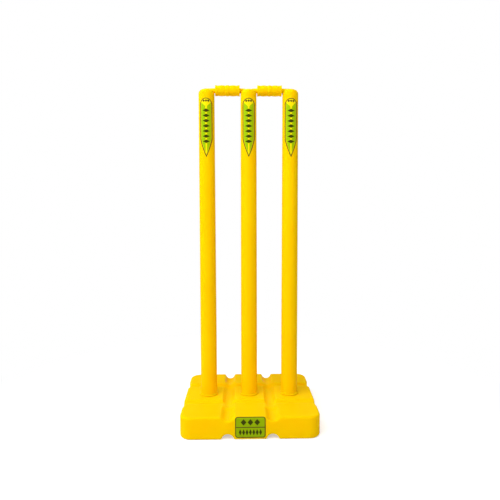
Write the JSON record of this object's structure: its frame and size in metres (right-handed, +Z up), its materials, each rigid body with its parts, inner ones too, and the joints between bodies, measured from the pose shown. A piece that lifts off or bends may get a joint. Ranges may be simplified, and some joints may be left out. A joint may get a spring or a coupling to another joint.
{
  "type": "cricket stumps",
  "caption": "Free-standing plastic wicket: tapered round stumps pushed into a low grooved base, with beaded bails lying in grooves across the stump tops.",
  "frame": {"origin": "on the ground under the axis of the middle stump, at the centre of the base's underside", "axes": "+X along the row of stumps from left to right as seen from the front, +Y from the labelled front to the back, +Z up"},
  "size_m": [0.303, 0.2632, 0.7725],
  "materials": {
    "yellow_plastic": "satin bright yellow moulded polyethylene",
    "label_print": "printed green film with a dark border and a yellow stripe",
    "stopper_plastic": "matt dark grey soft plastic"
  },
  "bodies": {
    "base": {"base_shell": "yellow_plastic", "base_label": "label_print"},
    "stopper": {"filler_plug": "stopper_plastic"},
    "middle_stump": {"stump_middle": "yellow_plastic", "stump_label_middle": "label_print"},
    "left_stump": {"stump_left": "yellow_plastic", "stump_label_left": "label_print"},
    "right_stump": {"stump_right": "yellow_plastic", "stump_label_right": "label_print"},
    "left_bail": {"bail_left": "yellow_plastic"},
    "right_bail": {"bail_right": "yellow_plastic"}
  },
  "joints": [
    {"name": "stopper_pull", "type": "slide", "parent": "base", "child": "stopper", "axis": [0, 1, 0], "range_m": [0, 0.015]},
    {"name": "middle_stump_lift", "type": "slide", "parent": "base", "child": "middle_stump", "axis": [0, 0, 1], "range_m": [0, 0.05]},
    {"name": "left_stump_lift", "type": "slide", "parent": "middle_stump", "child": "left_stump", "axis": [0, 0, 1], "range_m": [0, 0.05]},
    {"name": "right_stump_lift", "type": "slide", "parent": "middle_stump", "child": "right_stump", "axis": [0, 0, 1], "range_m": [0, 0.05]},
    {"name": "left_bail_lift", "type": "slide", "parent": "left_stump", "child": "left_bail", "axis": [0, 0, 1], "range_m": [0, 0.03]},
    {"name": "right_bail_lift", "type": "slide", "parent": "right_stump", "child": "right_bail", "axis": [0, 0, 1], "range_m": [0, 0.03]}
  ]
}
